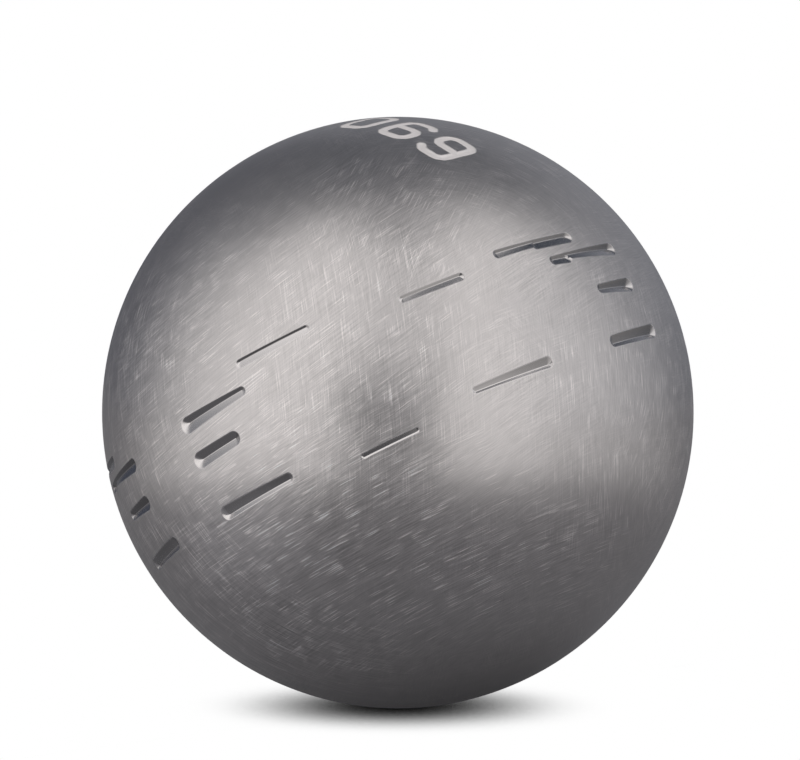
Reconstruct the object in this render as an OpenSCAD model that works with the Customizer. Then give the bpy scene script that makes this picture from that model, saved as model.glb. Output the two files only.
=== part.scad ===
// Petanque boule: two pressed steel shells, one butt weld, and V-cut marks milled round it.
// The origin is the ball's centre, +Z is up as the boule lies, and it is seen from -Y.

/* [Ball] */
// Outer diameter
ball_d = 74; // [70.5:0.5:80]
// Wall of the pressed shells
wall = 6.04; // [4:0.01:9]

/* [Weld] */
// Width of the weld at the outer surface
weld_w = 2.4; // [1.6:0.1:3]
// Gap between the shells at the root of the weld
root_gap = 0.8; // [0.4:0.1:1.2]
// Height of the square root face, measured out from the hollow
root_face = 1.4; // [0.6:0.1:2.5]
// Radius of the bead that the weld leaves inside
bead_r = 1.1; // [0.8:0.05:1.6]
// How far that bead stands into the hollow
bead_proud = 0.4; // [0.2:0.05:0.6]

/* [Marks] */
// Included angle of the V cutter
cutter_angle = 120; // [100:1:130]
// Depth of the deepest mark
cut_depth = 0.6; // [0.2:0.05:0.8]
// How many times the pattern repeats round the ball
patterns = 3; // [2:1:3]

/* [Lie] */
// How far the marking axis leans from upright
lean = 27.4; // [0:0.1:90]
// Compass direction that it leans to
lean_turn = 152.1; // [0:0.1:360]
// Turn of the marks about their own axis
mark_turn = 127.6; // [0:0.1:360]

/* [Hidden] */
$fn = 128;

ball_r = ball_d / 2;
hollow_r = ball_r - wall;
// What every cutting shape runs past the surface that it cuts
overrun = 0.5;
rim_r = ball_r + overrun;
// The weld's chamfer widens evenly from the root face, and is this wide at rim_r
weld_rim = weld_w + (weld_w - root_gap) * overrun / (wall - root_face);

// The cutter points straight at the marking axis, so a V cut above or below the middle leans
half_angle = cutter_angle / 2;
pattern_angle = 360 / patterns;
// The second pattern stands a little past its even place, and the weld runs through the gap between
// two strokes, just short of that pattern's middle. Both are shares of pattern_angle.
slip_share = 0.0625;
gap_share = 0.0435;
slip_turn = pattern_angle * slip_share;
weld_turn = pattern_angle + slip_turn - pattern_angle * gap_share;
quarter_turn = 90;
half_turn = 180;
// Where each shell's revolve starts: the line from there to its pole passes between the marks
start_turn = -6;
// A mark is lofted in steps of about this turn, and its conical ends in this many facets
step_angle = 3;
end_facets = 6;

// One row for each stroke of a pattern. The turns of its two ends are shares of pattern_angle,
// their heights along the marking axis are shares of ball_r, and their depths of cut_depth.
// Left to right: turn, turn, height, height, depth, depth.
stroke_shares = [
    [-0.288, -0.166,  0.221,  0.222, 0.47, 0.39],
    [-0.419, -0.302,  0.131,  0.135, 0.98, 0.57],
    [-0.420, -0.346,  0.004,  0.008, 1.00, 0.91],
    [-0.422, -0.290, -0.193, -0.191, 0.77, 0.53],
    [-0.166, -0.074, -0.234, -0.230, 0.25, 0.28],
    [-0.010,  0.088,  0.178,  0.178, 0.45, 0.49],
    [ 0.035,  0.166, -0.187, -0.188, 0.40, 0.64],
    [ 0.166,  0.240,  0.210,  0.208, 0.52, 0.44],
    [ 0.242,  0.314,  0.205,  0.201, 0.61, 0.64],
    [ 0.258,  0.287,  0.132,  0.130, 0.57, 0.67],
    [ 0.285,  0.407,  0.136,  0.131, 0.42, 0.82],
    [ 0.327,  0.404, -0.003, -0.007, 0.62, 0.90],
    [ 0.311,  0.425, -0.185, -0.179, 0.67, 0.78],
];

// A point at this reach from the marking axis, this turn and this height
function on_turn(reach, turn, height) = [reach * cos(turn), reach * sin(turn), height];
function between(a, b, share) = a + (b - a) * share;
function flipped(list) = [for (i = [len(list) - 1:-1:0]) list[i]];

// Where the cutter's tip stands: [reach, turn, height]
function tip(stroke, share) =
    let (height = ball_r * between(stroke[2], stroke[3], share),
         depth = cut_depth * between(stroke[4], stroke[5], share))
    [sqrt(ball_r * ball_r - height * height) - depth,
     pattern_angle * between(stroke[0], stroke[1], share), height];

// A point of the cutter's cone outside the ball, at this angle round the cutter's axis
function cone_rim(tip, angle) =
    let (spread = (rim_r - tip[0]) * tan(half_angle), along = spread * cos(angle))
    on_turn(rim_r, tip[1], tip[2] + spread * sin(angle))
    + [-along * sin(tip[1]), along * cos(tip[1]), 0];

// The cone's rim points round one end, without the two that the flanks share
function end_rim(tip, from) =
    [for (k = [1:end_facets - 1]) cone_rim(tip, from - half_turn * k / end_facets)];

// One V-cut stroke: the cutter's cone carried along its arc, as one closed body
module stroke(row) {
    steps = max(1, ceil(abs(row[1] - row[0]) * pattern_angle / step_angle));
    tips = [for (i = [0:steps]) tip(row, i / steps)];
    last = steps;
    valley = [for (t = tips) on_turn(t[0], t[1], t[2])];
    upper = [for (t = tips) cone_rim(t, quarter_turn)];
    lower = [for (t = tips) cone_rim(t, -quarter_turn)];
    far_end = end_rim(tips[last], quarter_turn);
    near_end = end_rim(tips[0], -quarter_turn);
    rim = concat(upper, far_end, flipped(lower), near_end);
    // The tip that each rim point is joined to
    foot = concat([for (i = [0:last]) i], [for (p = far_end) last],
                  [for (i = [last:-1:0]) i], [for (p = near_end) 0]);
    base = len(valley);
    count = len(rim);
    low = base + count - len(near_end) - 1;
    flanks = [for (k = [0:count - 1]) let (n = (k + 1) % count)
        each foot[k] == foot[n]
            ? [[base + k, base + n, foot[k]]]
            : [[base + k, base + n, foot[n]], [base + k, foot[n], foot[k]]]];
    lid = [for (i = [0:last - 1])
        each [[base + i, low - i, low - i - 1], [base + i, low - i - 1, base + i + 1]]];
    far_lid = [for (k = [base + last + len(far_end) + 1:-1:base + last]) k];
    near_lid = concat([base], [for (k = [base + count - 1:-1:low]) k]);
    polyhedron(concat(valley, rim), concat(flanks, lid, [far_lid], [near_lid]));
}

module marks() {
    for (p = [0:patterns - 1])
        rotate([0, 0, p * pattern_angle + (p == 1 ? slip_turn : 0)])
            for (row = stroke_shares) stroke(row);
}

// The ball's section on one side of the joint, less the chamfer that the weld fills
module shell_section() {
    difference() {
        intersection() {
            circle(ball_r);
            polygon([
                [0, root_gap / 2],
                [hollow_r + root_face, root_gap / 2],
                [rim_r, weld_rim / 2],
                [rim_r, rim_r],
                [0, rim_r],
            ]);
        }
        circle(hollow_r);
    }
}

// The gap between the two shells, filled out to the ball's surface, and the bead inside
module weld_section() {
    intersection() {
        circle(ball_r);
        polygon([
            [hollow_r - bead_proud / 2, -root_gap / 2],
            [hollow_r + root_face, -root_gap / 2],
            [rim_r, -weld_rim / 2],
            [rim_r, weld_rim / 2],
            [hollow_r + root_face, root_gap / 2],
            [hollow_r - bead_proud / 2, root_gap / 2],
        ]);
    }
    intersection() {
        circle(hollow_r);
        translate([hollow_r - bead_proud + bead_r, 0])
            circle(bead_r);
    }
}

// From the marking axis upright to the way the boule lies
module lie() {
    rotate([0, lean, lean_turn])
        rotate([0, 0, mark_turn])
            children();
}

// From the weld's plane level to its place among the marks
module across_marks() {
    rotate([0, 0, weld_turn - quarter_turn])
        rotate([0, quarter_turn, 0])
            children();
}

module shell() {
    rotate([0, 0, start_turn])
        rotate_extrude()
            shell_section();
}

module front_shell() {
    color([0.66, 0.65, 0.64])
        lie()
            difference() {
                across_marks() shell();
                marks();
            }
}

module back_shell() {
    color([0.60, 0.60, 0.61])
        lie()
            difference() {
                across_marks() rotate([half_turn, 0, 0]) shell();
                marks();
            }
}

module weld_seam() {
    color([0.72, 0.70, 0.68])
        lie()
            difference() {
                across_marks() rotate_extrude() weld_section();
                marks();
            }
}

front_shell();
back_shell();
weld_seam();
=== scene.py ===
import math
import bpy
import bmesh
import numpy as np
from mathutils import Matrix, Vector
from mathutils.geometry import delaunay_2d_cdt


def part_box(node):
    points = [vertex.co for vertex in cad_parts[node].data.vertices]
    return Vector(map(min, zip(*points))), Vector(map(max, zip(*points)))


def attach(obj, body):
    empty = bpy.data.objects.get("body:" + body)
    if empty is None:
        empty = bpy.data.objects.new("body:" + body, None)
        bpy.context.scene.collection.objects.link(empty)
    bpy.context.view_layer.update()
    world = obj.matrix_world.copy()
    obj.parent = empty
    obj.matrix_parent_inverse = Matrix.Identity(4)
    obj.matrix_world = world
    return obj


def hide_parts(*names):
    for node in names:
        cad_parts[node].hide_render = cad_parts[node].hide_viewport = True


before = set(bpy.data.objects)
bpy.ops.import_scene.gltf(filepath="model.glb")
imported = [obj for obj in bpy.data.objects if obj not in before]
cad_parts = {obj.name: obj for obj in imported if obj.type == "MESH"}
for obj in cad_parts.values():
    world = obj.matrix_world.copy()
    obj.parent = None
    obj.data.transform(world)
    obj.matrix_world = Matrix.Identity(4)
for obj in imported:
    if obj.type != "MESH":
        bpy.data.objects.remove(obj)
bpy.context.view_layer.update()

mm = 0.001
boxes = [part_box(node) for node in ("front_shell", "back_shell", "weld_seam")]
floorHeight = min(low.z for low, high in boxes)
ballRadius = round(-floorHeight / mm, 1)  # all is in millimetres until a mesh is made


# How the boule is put together, as in the CAD model
boule = {
    "wall": 6.04,
    "weldWidth": 2.4,       # at the outer surface
    "rootGap": 0.8,         # between the shells at the root of the weld
    "rootFace": 1.4,        # height of the square face, out from the hollow
    "beadRadius": 1.1,
    "beadProud": 0.4,
    "lean": 27.4,           # of the marking axis from upright
    "leanTurn": 152.1,      # the direction that it leans to
    "markTurn": 127.6,      # turn of the marks about their axis
    "weldTurn": 122.28,     # from the first pattern's middle to the weld
}
hollowRadius = ballRadius - boule["wall"]


def turned(axis, degrees):
    # the matrix that turns points about one axis
    cosine = math.cos(math.radians(degrees))
    sine = math.sin(math.radians(degrees))
    if axis == "z":
        return np.array([[cosine, -sine, 0], [sine, cosine, 0], [0, 0, 1]])
    return np.array([[cosine, 0, sine], [0, 1, 0], [-sine, 0, cosine]])


# From the marking axis upright to the way the boule lies
lie = turned("z", boule["leanTurn"]) @ turned("y", boule["lean"]) @ turned("z", boule["markTurn"])


# The marks: V cuts round the marking axis, made by a cone-shaped cutter that points at that axis
marks = {
    "cutterAngle": 120,
    "cutDepth": 0.6,        # of the deepest mark
    "patternTurns": [0, 127.5, 240],   # where each pattern's middle stands
    "patternAngle": 120,    # the turn that the shares below are shares of
    "rimEase": 0.06,        # height over which a rim is eased off
    "valleyEase": 0.045,    # radius of the cutter's tip
    "band": 0.35,           # no mark lies further up or down than this share of the radius
    "downTilt": 0.3,        # a flank tilted down this much from the ball's own slope faces down wholly and gets the whole painted shade
    # turn, turn, height, height, depth, depth, as shares of a pattern, the radius and the depth
    "strokeShares": [
        [-0.288, -0.166, 0.221, 0.222, 0.47, 0.39],
        [-0.419, -0.302, 0.131, 0.135, 0.98, 0.57],
        [-0.420, -0.346, 0.004, 0.008, 1.00, 0.91],
        [-0.422, -0.290, -0.193, -0.191, 0.77, 0.53],
        [-0.166, -0.074, -0.234, -0.230, 0.25, 0.28],
        [-0.010, 0.088, 0.178, 0.178, 0.45, 0.49],
        [0.035, 0.166, -0.187, -0.188, 0.40, 0.64],
        [0.166, 0.240, 0.210, 0.208, 0.52, 0.44],
        [0.242, 0.314, 0.205, 0.201, 0.61, 0.64],
        [0.258, 0.287, 0.132, 0.130, 0.57, 0.67],
        [0.285, 0.407, 0.136, 0.131, 0.42, 0.82],
        [0.327, 0.404, -0.003, -0.007, 0.62, 0.90],
        [0.311, 0.425, -0.185, -0.179, 0.67, 0.78],
    ],
}
flankSlope = 1 / math.tan(math.radians(marks["cutterAngle"] / 2))  # rise per millimetre of width


def strokeTable():
    # every stroke round the ball: turn, turn, height, height, depth, depth in degrees and millimetres
    units = np.array([marks["patternAngle"]] * 2 + [ballRadius] * 2 + [marks["cutDepth"]] * 2)
    rows = np.array(marks["strokeShares"]) * units
    return np.concatenate([rows + [turn, turn, 0, 0, 0, 0] for turn in marks["patternTurns"]])


strokes = strokeTable()


# The weight in grams, milled along a meridian of the marks: plain figures of straight runs and cut corners
number = {
    "figures": "690",
    "turn": 30.7,           # the meridian that the figures stand across
    "lift": 51.0,           # how far up it the middle figure stands
    "pitch": 6.9,
    "height": 6.1,
    "width": 4.1,
    "cutWidth": 1.2,
    "cutDepth": 0.2,
    "corner": 0.2,          # cut corner, as a share of the width
    "waist": 0.53,          # how high the bar of a 6 stands, as a share of the height
    "tail": 0.9,            # how much of the last cut corner a 6 begins with
    "gap": 0.05,            # how far the bar of a 6 stops short of its side, as a share of the width
    "soften": 0.18,         # chamfer at every corner, as a share of the runs beside it
    "field": (12, 5),       # no figure reaches further than this along the meridian or across it
    "above": 0.3,           # and none lies lower than this share of the radius
}
farOff = 9.0                # stands for the distance to a cut where none is near
tiny = 1e-9                 # keeps what divides away from nothing


def figurePaths():
    # each figure's route as corner points, in shares of its width and height, then set side by side
    cut = number["corner"]
    rise = cut * number["width"] / number["height"]
    waist = number["waist"]
    six = [[1, 1 - rise * number["tail"]], [1 - cut, 1], [cut, 1], [0, 1 - rise], [0, rise], [cut, 0],
           [1 - cut, 0], [1, rise], [1, waist - rise], [1 - cut, waist], [number["gap"], waist]]
    nought = [[0.5, 1], [cut, 1], [0, 1 - rise], [0, rise], [cut, 0], [1 - cut, 0], [1, rise],
              [1, 1 - rise], [1 - cut, 1], [0.5, 1]]
    shapes = {"6": np.array(six), "9": 1 - np.array(six), "0": np.array(nought)}
    size = np.array([number["width"], number["height"]])
    paths = []
    for place, figure in enumerate(number["figures"]):
        shift = np.array([(place - (len(number["figures"]) - 1) / 2) * number["pitch"], 0])
        paths.append(softened((shapes[figure] - 0.5) * size) + shift)
    return paths


def softened(points):
    # a small chamfer at every corner, in place of a sharp one: points a little before and after it
    cut = number["soften"]
    before = points[1:-1] + (points[:-2] - points[1:-1]) * cut
    after = points[1:-1] + (points[2:] - points[1:-1]) * cut
    inner = np.stack([before, after], axis=1).reshape(-1, 2)
    return np.concatenate([points[:1], inner, points[-1:]])


figures = figurePaths()


def unit(points):
    # each row drawn to a length of 1
    return points / np.linalg.norm(points, axis=-1, keepdims=True)


def onTurn(reach, turn, height):
    # points at this reach from the marking axis, this turn in degrees and this height
    angle = np.radians(turn)
    return np.stack([reach * np.cos(angle), reach * np.sin(angle), height + 0 * angle], axis=-1)


def numberAxes():
    # the meridian's plane: level at its turn, up the marking axis, and the figures' own upward side
    level = onTurn(1, np.array(number["turn"]), 0)
    up = np.array([0, 0, 1.0])
    return level, up, np.cross(level, up)


def toNumber(points):
    # distances along the meridian and across it from the middle of the number
    level, up, side = numberAxes()
    direction = unit(points)
    along = np.arctan2(direction @ up, direction @ level) - math.radians(number["lift"])
    return np.stack([along, np.arcsin(direction @ side)], axis=-1) * ballRadius


def fromNumber(flat):
    # the reverse: a point so far along the meridian and across it, on the ball
    level, up, side = numberAxes()
    along = flat[:, :1] / ballRadius + math.radians(number["lift"])
    across = flat[:, 1:] / ballRadius
    meridian = np.cos(along) * level + np.sin(along) * up
    return ballRadius * (np.cos(across) * meridian + np.sin(across) * side)


def eased(a, b, ease):
    # the lower of two surfaces, with the corner between them rounded over this height
    near = np.clip(1 - np.abs(a - b) / ease, 0, 1)
    return np.minimum(a, b) - near * near * ease / 4


def cutterReach(turn, height):
    # how far from the marking axis the deepest cut at each point stands: the cutter's tip at the
    # stroke's nearest place, plus the distance from there times the slope of its flank
    lowTurn, highTurn, lowHeight, highHeight, lowDepth, highDepth = strokes.T
    off = (turn[:, None] - (lowTurn + highTurn) / 2 + 180) % 360 - 180
    share = np.clip(off / (highTurn - lowTurn) + 0.5, 0, 1)
    tipHeight = lowHeight + (highHeight - lowHeight) * share
    tip = np.sqrt(ballRadius ** 2 - tipHeight ** 2) - (lowDepth + (highDepth - lowDepth) * share)
    along = np.radians(off - (share - 0.5) * (highTurn - lowTurn)) * tip
    away = np.sqrt(along ** 2 + (height[:, None] - tipHeight) ** 2 + marks["valleyEase"] ** 2)
    return (tip + away * flankSlope).min(axis=1)


def figureDepth(flat):
    # how deep the figures' round-bottomed cut is: a parabola of the distance to the nearest path
    half = number["cutWidth"] / 2
    nearest = np.full(len(flat), farOff)
    for path in figures:
        a = path[:-1]
        b = path[1:]
        run = b - a
        share = ((flat[:, None] - a) * run).sum(axis=2) / (run ** 2).sum(axis=1)
        foot = a + run * np.clip(share, 0, 1)[..., None]
        nearest = np.minimum(nearest, np.linalg.norm(flat[:, None] - foot, axis=2).min(axis=1))
    return number["cutDepth"] * (1 - (nearest / half) ** 2)


def cutsAbove(direction):
    # how far the marks' cut and the figures' cut stand above the ball, less than 0 inside a cut
    height = direction[:, 2] * ballRadius
    turn = np.degrees(np.arctan2(direction[:, 1], direction[:, 0]))
    reach = np.hypot(direction[:, 0], direction[:, 1]) * ballRadius
    mark = np.full(len(direction), farOff)
    banded = np.abs(height) < marks["band"] * ballRadius
    mark[banded] = cutterReach(turn[banded], height[banded]) - reach[banded]
    figure = np.full(len(direction), farOff)
    flat = toNumber(direction)
    near = (np.abs(flat) < number["field"]).all(axis=1) & (height > number["above"] * ballRadius)
    figure[near] = -figureDepth(flat[near])
    return mark, figure


def ballSurface(direction):
    # the boule's outer surface in a direction from its middle. A mark keeps the point's turn and height
    # and lowers its reach from the marking axis, and a figure lowers its distance from the middle.
    mark, figure = cutsAbove(direction)
    ease = marks["rimEase"]
    level = np.hypot(direction[:, 0], direction[:, 1])
    lower = 1 + eased(0, mark, ease) / ballRadius / level
    sink = 1 + eased(0, figure, ease) / ballRadius
    points = direction * ballRadius * sink[:, None]
    points[:, :2] *= lower[:, None]
    return points


def insideCut(above):
    # 1 inside a cut and 0 outside it, changing over its eased rim
    return np.clip(0.5 - above / marks["rimEase"] / 2, 0, 1)


# Lines that the surface's mesh follows, so that every rim and valley is a clean edge
lines = {
    "rimSteps": [-0.13, -0.045, 0.045, 0.13],   # across a rim, from its middle
    "valley": 0.07,         # round a valley
    "floorSteps": [0.75, 0.4],  # across a figure's floor, as shares of half its width
    "spacing": 0.35,        # along a line
    "clear": 0.3,           # between a rim and the free points
    "capPoints": 11,        # round half an end
    "spread": 1.15,         # between the free points
    "packing": 0.87,        # the room that each of them takes, as a share of the spread squared
    "edgeGap": 0.6,         # between the outermost of them and the edge, as a share of the spread
    "rimPoints": 360,       # round each shell's edge
    "sameEdge": 0.01,       # a point this close to the edge is one of its own
    "bowlPoints": 40,       # from the joint to the hollow's pole
    "weldPoints": 9,        # across the weld's outside
    "beadPoints": 13,       # across its bead
    "slopeStep": 0.004,     # over which the surface's slope is measured, each way
    "together": 0.00001,    # points closer than this become one
}


def markLoop(row, step):
    # a closed line round one stroke: along its upper side, round its far end, back and round the near end.
    # It stands at the rim, moved out by the step, or round the valley where the step is None.
    lowTurn, highTurn, lowHeight, highHeight, lowDepth, highDepth = row
    length = math.radians(highTurn - lowTurn) * ballRadius
    run = np.linspace(0, 1, max(2, round(length / lines["spacing"])))
    cap = np.linspace(90, -90, lines["capPoints"] + 2)[1:-1]
    share = np.concatenate([run, np.ones(len(cap)), run[::-1], np.zeros(len(cap))])
    angle = np.radians(np.concatenate([90 + 0 * run, cap, -90 + 0 * run, cap - 180]))
    height = lowHeight + (highHeight - lowHeight) * share
    turn = lowTurn + (highTurn - lowTurn) * share
    depth = lowDepth + (highDepth - lowDepth) * share
    reach = np.sqrt(ballRadius ** 2 - height ** 2)
    if step is None:
        offset = lines["valley"] + 0 * reach
    else:
        # the flank, tip + offset * slope, meets the ball where a * offset ** 2 + 2 * b * offset + c is 0
        tip = reach - depth
        a = flankSlope ** 2 + np.sin(angle) ** 2
        b = tip * flankSlope + height * np.sin(angle)
        c = tip ** 2 + height ** 2 - ballRadius ** 2
        offset = (-b + np.sqrt(b * b - a * c)) / a + step
    turn = turn + np.degrees(offset * np.cos(angle) / reach)
    height = height + offset * np.sin(angle)
    loop = onTurn(np.sqrt(ballRadius ** 2 - height ** 2), turn, height)
    return np.concatenate([loop, loop[:1]])


def markValley(row):
    # the line along the bottom of one stroke: its turn and its height change evenly from end to end
    lowTurn, highTurn, lowHeight, highHeight = row[:4]
    length = math.radians(highTurn - lowTurn) * ballRadius
    share = np.linspace(0, 1, max(2, round(length / lines["spacing"])))
    height = lowHeight + (highHeight - lowHeight) * share
    turn = lowTurn + (highTurn - lowTurn) * share
    return onTurn(np.sqrt(ballRadius ** 2 - height ** 2), turn, height)


def beside(path, offset):
    # a line at this distance beside a path, on its left if the distance is positive
    run = unit(np.diff(path, axis=0))
    side = np.stack([-run[:, 1], run[:, 0]], axis=1)
    joint = unit(np.concatenate([side[:1], side[:-1] + side[1:], side[-1:]]))
    # a corner's point stands further out, but never more than twice as far
    grow = 1 / np.maximum((joint[1:] * side).sum(axis=1), 0.5)
    return path + joint * offset * np.concatenate([[1], grow])[:, None]


def roundEnd(path, offset):
    # half a circle round a path's last point, from its left side to its right one
    run = unit(path[-1] - path[-2])
    side = np.array([-run[1], run[0]])
    angle = np.linspace(0, math.pi, lines["capPoints"] + 2)[1:-1, None]
    return path[-1] + offset * (np.cos(angle) * side + np.sin(angle) * run)


def figureLines(path):
    # the lines of one figure's cut, on the ball: both rims with their steps, the floor's sides and middle
    closed = np.allclose(path[0], path[-1])
    half = number["cutWidth"] / 2
    made = []
    offsets = [step + half for step in lines["rimSteps"]] + [step * half for step in lines["floorSteps"]]
    for offset in offsets:
        sides = [beside(path, offset), beside(path, -offset)]
        if not closed:
            sides = [np.concatenate([sides[0], roundEnd(path, offset), sides[1][::-1],
                                     roundEnd(path[::-1], offset), sides[0][:1]])]
        made += sides
    made.append(path)
    return [fromNumber(filledIn(line, lines["spacing"])) for line in made]


def filledIn(line, spacing):
    # extra points along a line's runs, about this far apart
    length = np.concatenate([[0], np.cumsum(np.linalg.norm(np.diff(line, axis=0), axis=1))])
    even = np.linspace(0, length[-1], max(2, round(length[-1] / spacing)))
    places = np.unique(np.concatenate([even, length]).round(4))
    return np.stack([np.interp(places, length, line[:, k]) for k in range(2)], axis=1)


def shellAxes(turn):
    # a shell's own directions: to its pole, along its level and up the marking axis
    pole = onTurn(1, np.array(turn), 0)
    return pole, np.cross([0, 0, 1.0], pole), np.array([0, 0, 1.0])


def toMap(points, axes):
    # an even map of a shell, centred on its pole: the distance from the middle is the arc from the pole
    pole, level, up = axes
    direction = unit(points)
    arc = np.arccos(np.clip(direction @ pole, -1, 1)) * ballRadius
    flat = np.stack([direction @ level, direction @ up], axis=-1)
    return flat / np.maximum(np.linalg.norm(flat, axis=1, keepdims=True), tiny) * arc[:, None]


def fromMap(flat, axes):
    # the reverse: the direction that leaves the pole by an angle of the distance over the radius
    pole, level, up = axes
    arc = np.linalg.norm(flat, axis=1)
    side = flat / np.maximum(arc, tiny)[:, None]
    angle = (arc / ballRadius)[:, None]
    return np.cos(angle) * pole + np.sin(angle) * (side[:, :1] * level + side[:, 1:] * up)


def surfaceNormals(flat, axes):
    # the surface's own normals: square to its slopes along the map's two directions
    slopes = []
    for way in np.eye(2) * lines["slopeStep"]:
        slopes.append(ballSurface(fromMap(flat + way, axes)) - ballSurface(fromMap(flat - way, axes)))
    normal = unit(np.cross(slopes[0], slopes[1]))
    outward = (normal * fromMap(flat, axes)).sum(axis=1, keepdims=True)
    return normal * np.sign(outward)


def edgeRing():
    # the angles of a shell's edge points, and how far the edge lies from the pole along the ball
    angles = np.arange(lines["rimPoints"]) / lines["rimPoints"] * 2 * math.pi
    return angles, math.acos(boule["weldWidth"] / 2 / ballRadius) * ballRadius


def freePoints(axes, edgeArc):
    # a sunflower of points over the map, even in spacing, less those on or near a cut
    count = int((edgeArc / lines["spread"]) ** 2 * math.pi / lines["packing"])
    order = np.arange(count) + 0.5
    golden = math.pi * (3 - math.sqrt(5))
    free = np.stack([np.cos(order * golden), np.sin(order * golden)], axis=1)
    free *= (np.sqrt(order / count) * (edgeArc - lines["spread"] * lines["edgeGap"]))[:, None]
    mark, figure = cutsAbove(fromMap(free, axes))
    return free[(mark > lines["clear"] * flankSlope) & (figure > lines["clear"])]


def outerSkin(axes):
    # a shell's outer surface: its edge, the lines of its marks and figures and the free points,
    # joined into triangles on the flat map. All of them face outwards.
    angles, edgeArc = edgeRing()
    edge = np.stack([np.cos(angles), np.sin(angles)], axis=1) * edgeArc
    bands = [np.concatenate([edge, edge[:1]])]
    middles = onTurn(1, (strokes[:, 0] + strokes[:, 1]) / 2, 0)
    for row in strokes[middles @ axes[0] > 0]:
        for step in lines["rimSteps"] + [None]:
            bands.append(toMap(markLoop(row, step), axes))
        bands.append(toMap(markValley(row), axes))
    if onTurn(1, np.array(number["turn"]), 0) @ axes[0] > 0:
        for path in figures:
            bands += [toMap(line, axes) for line in figureLines(path)]
    starts = np.cumsum([0] + [len(band) for band in bands])
    pairs = [np.arange(low, high - 1) for low, high in zip(starts[:-1], starts[1:])]
    first = np.concatenate(pairs)
    points = np.concatenate(bands + [freePoints(axes, edgeArc)])
    cells = delaunay_2d_cdt([Vector(p) for p in points], np.stack([first, first + 1], axis=1).tolist(),
                            [], 0, lines["together"])
    flat = np.array([tuple(p) for p in cells[0]])
    triangles = np.array(cells[2])
    a, b, c = (flat[triangles[:, k]] for k in range(3))
    area = (b[:, 0] - a[:, 0]) * (c[:, 1] - a[:, 1]) - (b[:, 1] - a[:, 1]) * (c[:, 0] - a[:, 0])
    return flat, np.where((area > 0)[:, None], triangles, triangles[:, ::-1])


def revolved(profile, axes, closed=False):
    # a profile of [distance from the axis, distance along it], carried round the shell's own axis,
    # as rows of points and the four-sided faces between them
    pole, level, up = axes
    angles = edgeRing()[0]
    side = np.cos(angles)[:, None] * level + np.sin(angles)[:, None] * up
    points = profile[:, :1, None] * side[None] + profile[:, 1:, None] * pole
    rows, columns = points.shape[:2]
    row = np.arange(rows if closed else rows - 1)[:, None]
    column = np.arange(columns)[None]
    here = row * columns + column
    there = (row + 1) % rows * columns + column
    onward = (column + 1) % columns - column
    faces = np.stack([here, there, there + onward, here + onward], axis=-1).reshape(-1, 4)
    return points.reshape(-1, 3), faces


def shellInside():
    # the joint's chamfer and square root face, then the hollow up to its pole
    half = boule["weldWidth"] / 2
    gap = boule["rootGap"] / 2
    top = [math.sqrt(ballRadius ** 2 - half ** 2), half]
    root = [hollowRadius + boule["rootFace"], gap]
    lip = [math.sqrt(hollowRadius ** 2 - gap ** 2), gap]
    angle = np.linspace(math.asin(gap / hollowRadius), math.pi / 2, lines["bowlPoints"])[1:]
    bowl = np.stack([np.cos(angle), np.sin(angle)], axis=1) * hollowRadius
    return np.array([top, root, lip] + bowl.tolist())


def weldProfile():
    # the weld's closed section: flush outside, down its chamfer, through the gap and round the bead
    half = boule["weldWidth"] / 2
    gap = boule["rootGap"] / 2
    angle = np.linspace(-1, 1, lines["weldPoints"]) * math.asin(half / ballRadius)
    outside = np.stack([np.cos(angle), np.sin(angle)], axis=1) * ballRadius
    root = hollowRadius + boule["rootFace"]
    lip = math.sqrt(hollowRadius ** 2 - gap ** 2)
    radius = boule["beadRadius"]
    middle = hollowRadius - boule["beadProud"] + radius
    # where the bead's circle meets the hollow's
    out = (middle ** 2 + hollowRadius ** 2 - radius ** 2) / 2 / middle
    wide = math.asin(math.sqrt(hollowRadius ** 2 - out ** 2) / radius)
    sweep = np.linspace(wide, -wide, lines["beadPoints"])
    bead = np.stack([middle - np.cos(sweep) * radius, np.sin(sweep) * radius], axis=1)
    corners = [[root, gap], [lip, gap]]
    return np.concatenate([outside, corners, bead, [[lip, -gap], [root, -gap]]])


def faceSides(points, faces):
    # each face's own normal, by the right-hand rule
    a, b, c = (points[faces[:, k]] for k in range(3))
    return unit(np.cross(b - a, c - b))


def builtPiece(name, node, points, parts, values):
    # a mesh in metres, the way the boule lies. Each part is its faces and a normal for every corner.
    mesh = bpy.data.meshes.new(name)
    faces = [face for part, normals in parts for face in part.tolist()]
    mesh.from_pydata((points @ lie.T * mm).tolist(), [], faces)
    for label, each in values.items():
        layer = mesh.attributes.new(label, "FLOAT", "POINT")
        layer.data.foreach_set("value", np.pad(each, (0, len(points) - len(each))).astype(np.float32))
    mesh.polygons.foreach_set("use_smooth", np.ones(len(faces), dtype=bool))
    corners = np.concatenate([normals.reshape(-1, 3) for part, normals in parts])
    mesh.normals_split_custom_set((corners @ lie.T).tolist())
    piece = bpy.data.objects.new(name, mesh)
    bpy.context.scene.collection.objects.link(piece)
    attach(piece, "root")
    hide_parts(node)
    checked(piece)
    return piece


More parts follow.
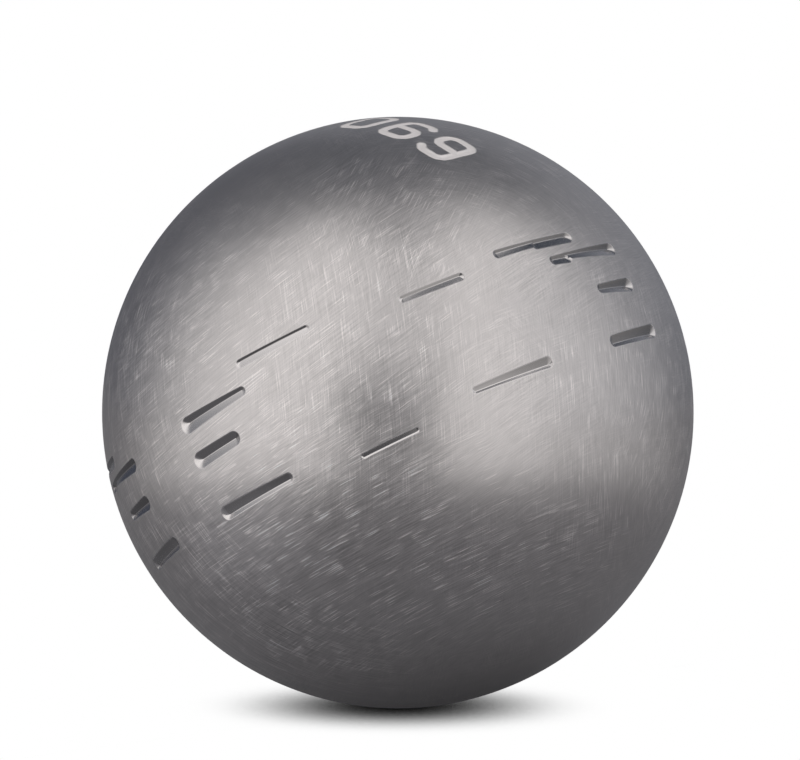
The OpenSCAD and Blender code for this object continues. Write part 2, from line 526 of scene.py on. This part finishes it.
def shellPiece(name, node, turn):
    # one shell as one closed mesh: its outer skin, the joint's two rings and the hollow
    axes = shellAxes(turn)
    flat, skin = outerSkin(axes)
    direction = fromMap(flat, axes)
    points = ballSurface(direction)
    normals = surfaceNormals(flat, axes)
    inner, walls = revolved(shellInside(), axes)
    # the skin's edge points stand in for the inner mesh's first row. Its last row is one point, the pole.
    count = lines["rimPoints"]
    angles, edgeArc = edgeRing()
    edge = np.flatnonzero(np.linalg.norm(flat, axis=1) > edgeArc - lines["sameEdge"])
    place = np.round(np.arctan2(flat[edge, 1], flat[edge, 0]) / 2 / math.pi * count).astype(int) % count
    index = np.arange(len(inner)) + len(points) - count
    index[place] = edge
    walls = index[walls]
    fan = walls[-count:][:, [0, 1, 3]]
    fan[:, 1] = index[-count]
    walls = walls[:-count]
    allPoints = np.concatenate([points, inner[count:-count + 1]])
    joint = walls[:2 * count]
    bowl = walls[2 * count:]
    towards = -unit(allPoints)
    parts = [(skin, normals[skin]),
             (joint, np.repeat(faceSides(allPoints, joint)[:, None], 4, axis=1)),
             (bowl, towards[bowl]),
             (fan, towards[fan])]
    mark, figure = cutsAbove(direction)
    # how far a flank is turned down from the ball's own slope, from 0 to 1: how much painted shade it gets
    facingDown = np.clip((direction - normals) @ lie[2] / marks["downTilt"], 0, 1)
    # the under attribute is painted shade: the marks' flanks that face down are darkened in colour
    return builtPiece(name, node, allPoints, parts,
                      {"mark": insideCut(mark), "under": insideCut(mark) * facingDown,
                       "figure": insideCut(figure)})


def weldPiece():
    points, faces = revolved(weldProfile(), shellAxes(boule["weldTurn"] - 90), closed=True)
    faces = faces[:, ::-1]
    # round the flush outside the normals are the ball's, elsewhere each face's own
    outside = (lines["weldPoints"] - 1) * lines["rimPoints"]
    flush = faces[:outside]
    hidden = faces[outside:]
    parts = [(flush, unit(points)[flush]),
             (hidden, np.repeat(faceSides(points, hidden)[:, None], 4, axis=1))]
    return builtPiece("weldSeam", "weld_seam", points, parts,
                      {name: np.zeros(1) for name in ("mark", "under", "figure")})


def checked(piece):
    # prints what a closed piece should show: no open edge, and a positive volume
    test = bmesh.new()
    test.from_mesh(piece.data)
    openEdges = sum(1 for edge in test.edges if not edge.is_contiguous)
    triangles = sum(len(face.verts) - 2 for face in test.faces)
    print(f"{piece.name}: {triangles} triangles, {openEdges} open edges, "
          f"{test.calc_volume(signed=True) / mm ** 3:.0f} mm3")
    test.free()


class Wire:
    # one output of a node, so that shader maths reads as a plain expression
    def __init__(self, sheet, socket):
        self.sheet = sheet
        self.socket = socket

    def maths(self, operation, *others):
        values = dict(enumerate((self,) + others))
        return self.sheet.node("ShaderNodeMath", {"operation": operation}, values)

    def __add__(self, other):
        return self.maths("ADD", other)

    def __sub__(self, other):
        return self.maths("SUBTRACT", other)

    def __mul__(self, other):
        return self.maths("MULTIPLY", other)

    def __truediv__(self, other):
        return self.maths("DIVIDE", other)

    def __rsub__(self, other):
        return self.sheet.node("ShaderNodeMath", {"operation": "SUBTRACT"}, {0: other, 1: self})

    def __rtruediv__(self, other):
        return self.sheet.node("ShaderNodeMath", {"operation": "DIVIDE"}, {0: other, 1: self})

    __radd__ = __add__
    __rmul__ = __mul__


class Sheet:
    # a material's or the world's node tree
    def __init__(self, owner):
        owner.use_nodes = True
        self.tree = owner.node_tree
        self.tree.nodes.clear()

    def node(self, kind, settings=None, inputs=None, output=0):
        made = self.tree.nodes.new(kind)
        for key, value in (settings or {}).items():
            setattr(made, key, value)
        for key, value in (inputs or {}).items():
            if isinstance(value, Wire):
                self.tree.links.new(value.socket, made.inputs[key])
            else:
                made.inputs[key].default_value = value
        return Wire(self, made.outputs[output]) if made.outputs else None

    def smooth(self, value, low, high):
        # 0 below low, 1 above high, with a soft rise between them
        settings = {"interpolation_type": "SMOOTHSTEP", "clamp": True}
        return self.node("ShaderNodeMapRange", settings,
                         {"Value": value, "From Min": low, "From Max": high})


# The satin steel: a fine grain from the polishing, and scratches over it, with a painted glint along the
# scratches and painted shade on the marks' flanks that face down. Lengths are in millimetres.
satin = {
    "steel": (0.648, 0.614, 0.604),
    "roughness": 0.325,
    "haze": 0.30,               # share of the light that the finest scratches spread wide
    "hazeRoughness": 0.62,
    "grain": {"width": 0.1, "length": 4.0, "relief": 0.0065, "tone": 0.95, "haze": 0.4, "seed": 0},
    # a hairline's tone lightens the colour along each scratch: the scratch is real wear, its lighter colour
    # a painted glint
    "hairline": {"width": 0.12, "length": 4.5, "relief": 0.005, "tone": 0.85, "haze": 0.9, "seed": 40},
    "crest": (0.60, 0.71),      # the noise between which a hairline rises to its full strength
    "patches": ((12, 3.1), (8, 11.7)),  # the patches that the strokes come in: size and seed
    "pieces": (1.8, 23.3),      # and the pieces that hairlines break up into
    "patchEdge": (0.38, 0.62),  # the noise between which a patch begins and is whole
    "zoneEdge": (1.5, 0.5),     # where a zone begins and where it is whole, as shares of its radius
    "zoneGrain": 0.5,           # how strongly a zone's strokes show in the grain
    "zoneScratches": 0.6,       # and in the scratches
    "zoneClears": 0.5,          # how much of the other strokes is polished away in a zone
    "mottle": {"size": 2.2, "seed": 71.0, "detail": 2.0, "roughness": 0.09, "tone": 0.12},
    "markSteel": 1.15,          # how much lighter the marks' milled flanks are
    "paintedUnderShade": 0.42,         # painted shade: how much of that is left on the flanks that face down
    "markRoughness": 0.2,
    "figureSteel": 1.5,
    "figureHaze": 0.85,
    "figureMatte": 0.85,        # how much of the figures' haze is dull white instead of metal
}

# Polishing strokes run in circles round these poles: [right, away, up]. Each has how strongly its grain and
# its scratches show everywhere, how strongly both show in its zones, and then these zones: a direction and
# a radius in degrees.
strokePoles = [
    {"pole": (-0.60, 0.12, 0.79), "grain": 0.45, "scratches": 0.12, "inZones": 0.7,
     "zones": [((-0.45, -0.85, 0.30), 36), ((0.30, 0.90, 0.35), 34)]},
    {"pole": (-0.43, 0.21, 0.88), "grain": 0.25, "scratches": 0.24, "inZones": 1.05,
     "zones": [((-0.16, -0.88, -0.44), 27), ((0.50, -0.68, -0.53), 15), ((-0.60, 0.75, -0.25), 30)]},
    {"pole": (1.0, 0.20, 0.05), "grain": 0.20, "scratches": 0.10, "inZones": 0.6,
     "zones": [((-0.12, -0.95, 0.28), 22), ((0.78, -0.60, 0.05), 24), ((0.10, 0.85, -0.50), 24)]},
    {"pole": (0.62, 0.35, 0.70), "grain": 0.12, "scratches": 0.14, "inZones": 0.9,
     "zones": [((0.80, 0.55, -0.20), 28)]},
    {"pole": (0.12, -0.95, 0.28), "grain": 0.22, "scratches": 0.12, "inZones": 0.7,
     "zones": [((-0.90, -0.35, 0.10), 22), ((-0.66, -0.50, -0.56), 20), ((-0.25, -0.60, -0.76), 14),
               ((0.32, -0.42, 0.85), 18), ((0.90, -0.38, 0.10), 20)]},
    {"pole": (-0.93, 0.19, 0.31), "grain": 0.12, "scratches": 0.08, "inZones": 0.5,
     "zones": [((0.02, -0.70, 0.71), 15)]},
]


def strokeCoordinates(sheet, pole):
    # coordinates round a pole: two that change along the circles round it and one from circle to circle
    place = sheet.node("ShaderNodeTexCoord", output="Object")
    tilt = Vector(pole).normalized().rotation_difference(Vector((0, 0, 1))).to_euler()
    turnedPlace = sheet.node("ShaderNodeMapping", {"vector_type": "POINT"},
                             {"Vector": place, "Rotation": tuple(tilt)})
    flat = sheet.node("ShaderNodeVectorMath", {"operation": "NORMALIZE"}, {0: turnedPlace})
    parts = sheet.node("ShaderNodeSeparateXYZ", inputs={0: flat}).socket.node
    x, y, z = (Wire(sheet, parts.outputs[k]) for k in range(3))
    reach = (x * x + y * y + 1e-6).maths("SQRT")  # never nothing, for it divides
    rings = sheet.node("ShaderNodeCombineXYZ", inputs={
        0: x / reach * ballRadius, 1: y / reach * ballRadius, 2: z.maths("ARCSINE") * ballRadius})
    return rings, 1 - z * z * z * z


def strokeNoise(sheet, coordinates, kind, pole):
    # noise drawn out along the strokes, another one for each pole
    scale = (1 / kind["length"], 1 / kind["length"], 1 / kind["width"])
    drawn = sheet.node("ShaderNodeMapping", {"vector_type": "POINT"}, {
        "Vector": coordinates, "Scale": scale, "Location": (kind["seed"] + pole, 0, 0)})
    return sheet.node("ShaderNodeTexNoise", inputs={"Vector": drawn, "Scale": 1.0, "Detail": 0.0})


def cloud(sheet, size, seed, output="Fac", detail=0.0):
    # soft noise with patches of about this size
    place = sheet.node("ShaderNodeTexCoord", output="Object")
    scaled = sheet.node("ShaderNodeMapping", {"vector_type": "POINT"}, {
        "Vector": place, "Scale": (1 / size / mm,) * 3, "Location": (seed, seed, seed)})
    values = {"Vector": scaled, "Scale": 1.0, "Detail": detail}
    return sheet.node("ShaderNodeTexNoise", inputs=values, output=output)


def patches(sheet, size, seed):
    # three sets of patches, each from 0 to 1
    parts = sheet.node("ShaderNodeSeparateColor", inputs={0: cloud(sheet, size, seed, "Color")}).socket.node
    return [sheet.smooth(Wire(sheet, parts.outputs[k]), *satin["patchEdge"]) for k in range(3)]


def zoneShare(sheet, zones):
    # 1 in the middle of each zone, falling smoothly to 0 past its radius. Zones that overlap add up.
    place = sheet.node("ShaderNodeTexCoord", output="Object")
    flat = sheet.node("ShaderNodeVectorMath", {"operation": "NORMALIZE"}, {0: place})
    total = 0
    for middle, radius in zones:
        near = sheet.node("ShaderNodeVectorMath", {"operation": "DOT_PRODUCT"},
                          {0: flat, 1: tuple(Vector(middle).normalized())}, "Value")
        begin, whole = (math.cos(math.radians(radius * edge)) for edge in satin["zoneEdge"])
        total = sheet.smooth(near, begin, whole) + total
    return total


def satinSteel():
    material = bpy.data.materials.new("satinSteel")
    sheet = Sheet(material)
    # under is the painted shade on the marks' flanks that face down
    mark, under, figure = (sheet.node("ShaderNodeAttribute", {"attribute_name": name}, output="Fac")
                           for name in ("mark", "under", "figure"))
    where = [patch for size, seed in satin["patches"] for patch in patches(sheet, size, seed)]
    pieces = patches(sheet, *satin["pieces"])
    zones = [zoneShare(sheet, kind["zones"]) for kind in strokePoles]
    elsewhere = 1 - sum(zones).maths("MINIMUM", 1.0) * satin["zoneClears"]
    grain = 0
    hairlines = 0
    for k, kind in enumerate(strokePoles):
        coordinates, away = strokeCoordinates(sheet, kind["pole"])
        inZones = zones[k] * kind["inZones"]
        fine = strokeNoise(sheet, coordinates, satin["grain"], k)
        strength = where[k] * elsewhere * kind["grain"] + inZones * satin["zoneGrain"]
        grain = (fine - 0.5) * away * strength + grain
        # a hairline runs along each crest of its noise, broken up into pieces
        crest = sheet.smooth(strokeNoise(sheet, coordinates, satin["hairline"], k), *satin["crest"])
        strength = where[-1 - k] * elsewhere * kind["scratches"] + inZones * satin["zoneScratches"]
        hairlines = crest * strength * away * pieces[k % 3] + hairlines

    def both(key):
        return grain * satin["grain"][key] + hairlines * satin["hairline"][key]

    bare = 1 - mark.maths("MAXIMUM", figure)
    height = (grain * satin["grain"]["relief"] - hairlines * satin["hairline"]["relief"]) * bare
    bump = sheet.node("ShaderNodeBump", inputs={"Height": height, "Distance": mm, "Strength": 1.0})
    spots = satin["mottle"]
    mottle = cloud(sheet, spots["size"], spots["seed"], detail=spots["detail"]) - 0.5
    # the hairlines' part of this tone is a painted glint along the scratches; the grain and the mottle are
    # the steel's own tone
    tone = (both("tone") + mottle * spots["tone"]) * bare + 1
    tone = tone + mark * (satin["markSteel"] - 1) + figure * (satin["figureSteel"] - 1)
    # painted shade: the marks' flanks that face down are made darker in colour
    tone = tone * (1 - under * (1 - satin["paintedUnderShade"]))
    colour = sheet.node("ShaderNodeVectorMath", {"operation": "SCALE"}, {0: satin["steel"], "Scale": tone})
    rough = (mottle * spots["roughness"] + satin["roughness"]) * bare
    rough = rough + mark * satin["markRoughness"] + figure * satin["roughness"]
    gloss = sheet.node("ShaderNodeBsdfPrincipled", inputs={
        "Base Color": colour, "Metallic": 1.0, "Roughness": rough, "Normal": bump})
    haze = sheet.node("ShaderNodeBsdfPrincipled", inputs={
        "Base Color": colour, "Metallic": 1 - figure * satin["figureMatte"],
        "Roughness": satin["hazeRoughness"], "Normal": bump})
    hazeShare = (both("haze") + satin["haze"]) * bare + figure * satin["figureHaze"]
    mixed = sheet.node("ShaderNodeMixShader", inputs={0: hazeShare, 1: gloss, 2: haze})
    sheet.node("ShaderNodeOutputMaterial", inputs={"Surface": mixed})
    return material


# The set, in metres. The ball's middle is the origin.
studio = {
    "cameraRise": 4.0,              # degrees above the ball's middle
    "cameraDistance": 0.518,
    "lens": 185.9,
    "shift": (0.0027, 0.0407),
    "clip": (0.01, 20),
    "floorHalf": 6.0,
    "floorGrey": 0.8,
    "shadow": (0.005, 0.42),        # shares of the sky that a point of the floor sees: black and white
    "shadowReach": 0.5,             # what stands further away than this casts none
    "shadowSamples": 24,
    "skyForDiffuse": 0.7,
}


def showsBackground(sheet):
    # 1 for what is seen, straight or in metal or through glass
    paths = sheet.node("ShaderNodeLightPath").socket.node
    camera, glossy, glass = (Wire(sheet, paths.outputs[f"Is {kind} Ray"])
                             for kind in ("Camera", "Glossy", "Transmission"))
    return camera.maths("MAXIMUM", glossy).maths("MAXIMUM", glass)


def whiteSky():
    world = bpy.data.worlds.new("whiteSky")
    bpy.context.scene.world = world
    sheet = Sheet(world)
    seen = showsBackground(sheet)
    strength = seen * (1 - studio["skyForDiffuse"]) + studio["skyForDiffuse"]
    sky = sheet.node("ShaderNodeBackground", inputs={"Color": (1, 1, 1, 1), "Strength": strength})
    sheet.node("ShaderNodeOutputWorld", inputs={"Surface": sky})


def stageSheet(name, points, faces, material):
    # a sheet of the set, which is no part of the boule
    mesh = bpy.data.meshes.new(name)
    mesh.from_pydata(points, [], faces)
    mesh.materials.append(material)
    piece = bpy.data.objects.new(name, mesh)
    bpy.context.scene.collection.objects.link(piece)
    return piece


def paleFloor():
    material = bpy.data.materials.new("paleFloor")
    sheet = Sheet(material)
    seen = showsBackground(sheet)
    settings = {"samples": studio["shadowSamples"], "only_local": False}
    sky = sheet.node("ShaderNodeAmbientOcclusion", settings,
                     {"Distance": studio["shadowReach"], "Normal": (0, 0, 1)}, "AO")
    white = sheet.smooth(sky, *studio["shadow"])
    glow = sheet.node("ShaderNodeEmission", inputs={"Color": (1, 1, 1, 1), "Strength": white})
    matte = sheet.node("ShaderNodeBsdfDiffuse", inputs={"Color": (studio["floorGrey"],) * 3 + (1,)})
    both = sheet.node("ShaderNodeMixShader", inputs={0: seen, 1: matte, 2: glow})
    sheet.node("ShaderNodeOutputMaterial", inputs={"Surface": both})
    half = studio["floorHalf"]
    corners = [(x * half, y * half, floorHeight) for x, y in ((-1, -1), (1, -1), (1, 1), (-1, 1))]
    stageSheet("floor", corners, [(0, 1, 2, 3)], material)


# What the metal reflects apart from the white sky and floor: grey cards with soft borders on a dome round
# the boule. Turns go from the camera towards the right and rises up from the level, in degrees. Each
# has four: where the card begins, where it is whole, where it stops being whole, and where it ends.
# One whose rises end past 90 is whole right over the top.
cards = {
    "behind": {"turns": (66, 142, 231, 303), "rises": (-12, -8, 90, 91), "away": 0.9,
               "grey": (0.121, 0.135, 0.161), "cover": 1.0},
    "behindLow": {"turns": (95, 120, 186, 206), "rises": (2, 12, 30, 44), "away": 0.88,
                  "grey": (0.26, 0.275, 0.31), "cover": 0.75},
    "behindLeft": {"turns": (183, 200, 222, 242), "rises": (-12, -8, 44, 66), "away": 0.86,
                   "grey": (0.03, 0.036, 0.056), "cover": 0.75},
    "behindAbove": {"turns": (102, 128, 250, 282), "rises": (38, 58, 90, 91), "away": 0.84,
                    "grey": (0.04, 0.05, 0.068), "cover": 0.95},
    "rightSide": {"turns": (38, 64, 100, 130), "rises": (-12, -8, 38, 56), "away": 0.8,
                  "grey": (0.33, 0.355, 0.4), "cover": 0.36},
    "cameraSide": {"turns": (-26, -15, 7, 18), "rises": (-12, -8, 9, 25), "away": 0.7,
                   "grey": (0.02, 0.028, 0.04), "cover": 1.0},
    "aboveCamera": {"turns": (-24, -6, 14, 28), "rises": (12, 24, 80, 91), "away": 0.75,
                    "grey": (0.24, 0.245, 0.26), "cover": 0.42},
    "overhead": {"turns": (-100, -50, 60, 110), "rises": (64, 80, 90, 91), "away": 1.0,
                 "grey": (0.07, 0.078, 0.095), "cover": 0.92},
}
domeGrid = (49, 33)     # points across a card and up it
mat = {
    "radii": (0.15, 0.09),          # where the dark mat under the boule begins and where it is whole
    "middle": 0.005,                # how far it lies to the right
    "lift": 0.0004,                 # above the floor
    "grey": (0.138, 0.14, 0.15),
    "paintedContactShadow": 0.3,                 # painted contact shadow: how dark it is where the boule stands, as a share of that grey
    "paintedContactShadowRadii": (0.004, 0.038),
    "lighter": (-90, -68, -46, -24),    # the turns between which it is lighter, as for a card
    "lighterBy": 0.85,
    "lighterRadii": (0.036, 0.062),
    # how much of it reaches on below these cards
    "goesOn": {"behind": 1.0, "cameraSide": 0.85, "rightSide": 0.45},
    "reach": (0.002, 3.0),          # its innermost and outermost circle of points
    "points": (121, 60),            # points round it and out
}


def softRise(value, low, high):
    # 0 at low and 1 at high, changing smoothly between them
    part = np.clip((value - low) / (high - low + tiny), 0, 1)
    return part * part * (3 - 2 * part)


def softSpan(value, stops):
    # rises from the first stop to the second and falls from the third to the fourth
    return softRise(value, stops[0], stops[1]) * softRise(value, stops[3], stops[2])


def reflected(name, points, grey, cover):
    # a card that only the metal's reflections see: a grid of points, with a colour and a cover at each
    rows, columns = cover.shape
    here = np.arange(rows - 1)[:, None] * columns + np.arange(columns - 1)[None]
    faces = np.stack([here, here + columns, here + columns + 1, here + 1], axis=-1).reshape(-1, 4)
    material = bpy.data.materials.new(name)
    sheet = Sheet(material)
    colour = sheet.node("ShaderNodeAttribute", {"attribute_name": "grey"}, output="Color")
    opaque = sheet.node("ShaderNodeAttribute", {"attribute_name": "cover"}, output="Fac")
    glow = sheet.node("ShaderNodeEmission", inputs={"Color": colour, "Strength": 1.0})
    clear = sheet.node("ShaderNodeBsdfTransparent")
    both = sheet.node("ShaderNodeMixShader", inputs={0: opaque, 1: clear, 2: glow})
    sheet.node("ShaderNodeOutputMaterial", inputs={"Surface": both})
    card = stageSheet(name, points.reshape(-1, 3).tolist(), faces.tolist(), material)
    tint = card.data.attributes.new("grey", "FLOAT_COLOR", "POINT")
    tint.data.foreach_set("color", np.concatenate([grey, 0 * grey[..., :1] + 1], axis=-1).ravel())
    amount = card.data.attributes.new("cover", "FLOAT", "POINT")
    amount.data.foreach_set("value", cover.ravel())
    card.visible_camera = False
    card.visible_diffuse = False
    card.visible_shadow = False
    return card


def domeCard(name, turns, rises, away, grey, cover):
    # a patch of a sphere round the boule
    turn = np.linspace(turns[0], turns[3], domeGrid[0])[:, None]
    rise = np.linspace(rises[0], min(rises[3], 90), domeGrid[1])[None]
    angle = np.radians(turn)
    level = away * np.cos(np.radians(rise))
    points = np.stack([np.sin(angle) * level, -np.cos(angle) * level,
                       away * np.sin(np.radians(rise)) + 0 * turn], axis=-1)
    return reflected(name, points, np.broadcast_to(grey, points.shape),
                     cover * softSpan(turn, turns) * softSpan(rise, rises))


def darkMat():
    # a soft round mat under the boule, which reaches further out below some of the cards, with a painted
    # contact shadow where the boule stands
    turn = np.linspace(0, 360, mat["points"][0])[:, None]
    radius = np.geomspace(*mat["reach"], mat["points"][1])[None]
    angle = np.radians(turn)
    points = np.stack([np.sin(angle) * radius + mat["middle"], -np.cos(angle) * radius,
                       floorHeight + mat["lift"] + 0 * radius + 0 * turn], axis=-1)
    bare = 1 - softRise(radius, *mat["radii"]) + 0 * turn
    signed = (turn + 180) % 360 - 180
    for name, amount in mat["goesOn"].items():
        turns = cards[name]["turns"]
        bare = bare * (1 - softSpan(signed if turns[0] < 0 else turn, turns) * amount)
    # painted contact shadow: the mat darkens towards where the boule stands
    near = mat["paintedContactShadow"] + (1 - mat["paintedContactShadow"]) * softRise(radius, *mat["paintedContactShadowRadii"])
    left = softSpan(signed, mat["lighter"]) * softRise(radius, *mat["lighterRadii"])
    near = near * (1 + mat["lighterBy"] * left)
    return reflected("darkMat", points, near[..., None] * np.array(mat["grey"]) + 0 * points, 1 - bare)


def setCamera():
    rise = math.radians(studio["cameraRise"])
    distance = studio["cameraDistance"]
    camera = bpy.data.objects.new("camera", bpy.data.cameras.new("camera"))
    bpy.context.scene.collection.objects.link(camera)
    camera.location = (0, -distance * math.cos(rise), distance * math.sin(rise))
    camera.rotation_euler = (math.pi / 2 - rise, 0, 0)
    camera.data.lens = studio["lens"]
    camera.data.shift_x, camera.data.shift_y = studio["shift"]
    camera.data.clip_start, camera.data.clip_end = studio["clip"]
    bpy.context.scene.camera = camera


setCamera()
whiteSky()
paleFloor()
for name, card in cards.items():
    domeCard(name, **card)
darkMat()
print("set: camera, sky, floor and cards")
front = shellPiece("frontShell", "front_shell", boule["weldTurn"] - 90)
back = shellPiece("backShell", "back_shell", boule["weldTurn"] + 90)
weld = weldPiece()
steel = satinSteel()
for piece in (front, back, weld):
    piece.data.materials.append(steel)
print("boule: shells, weld and steel")

bpy.context.scene.view_settings.view_transform = "Standard"
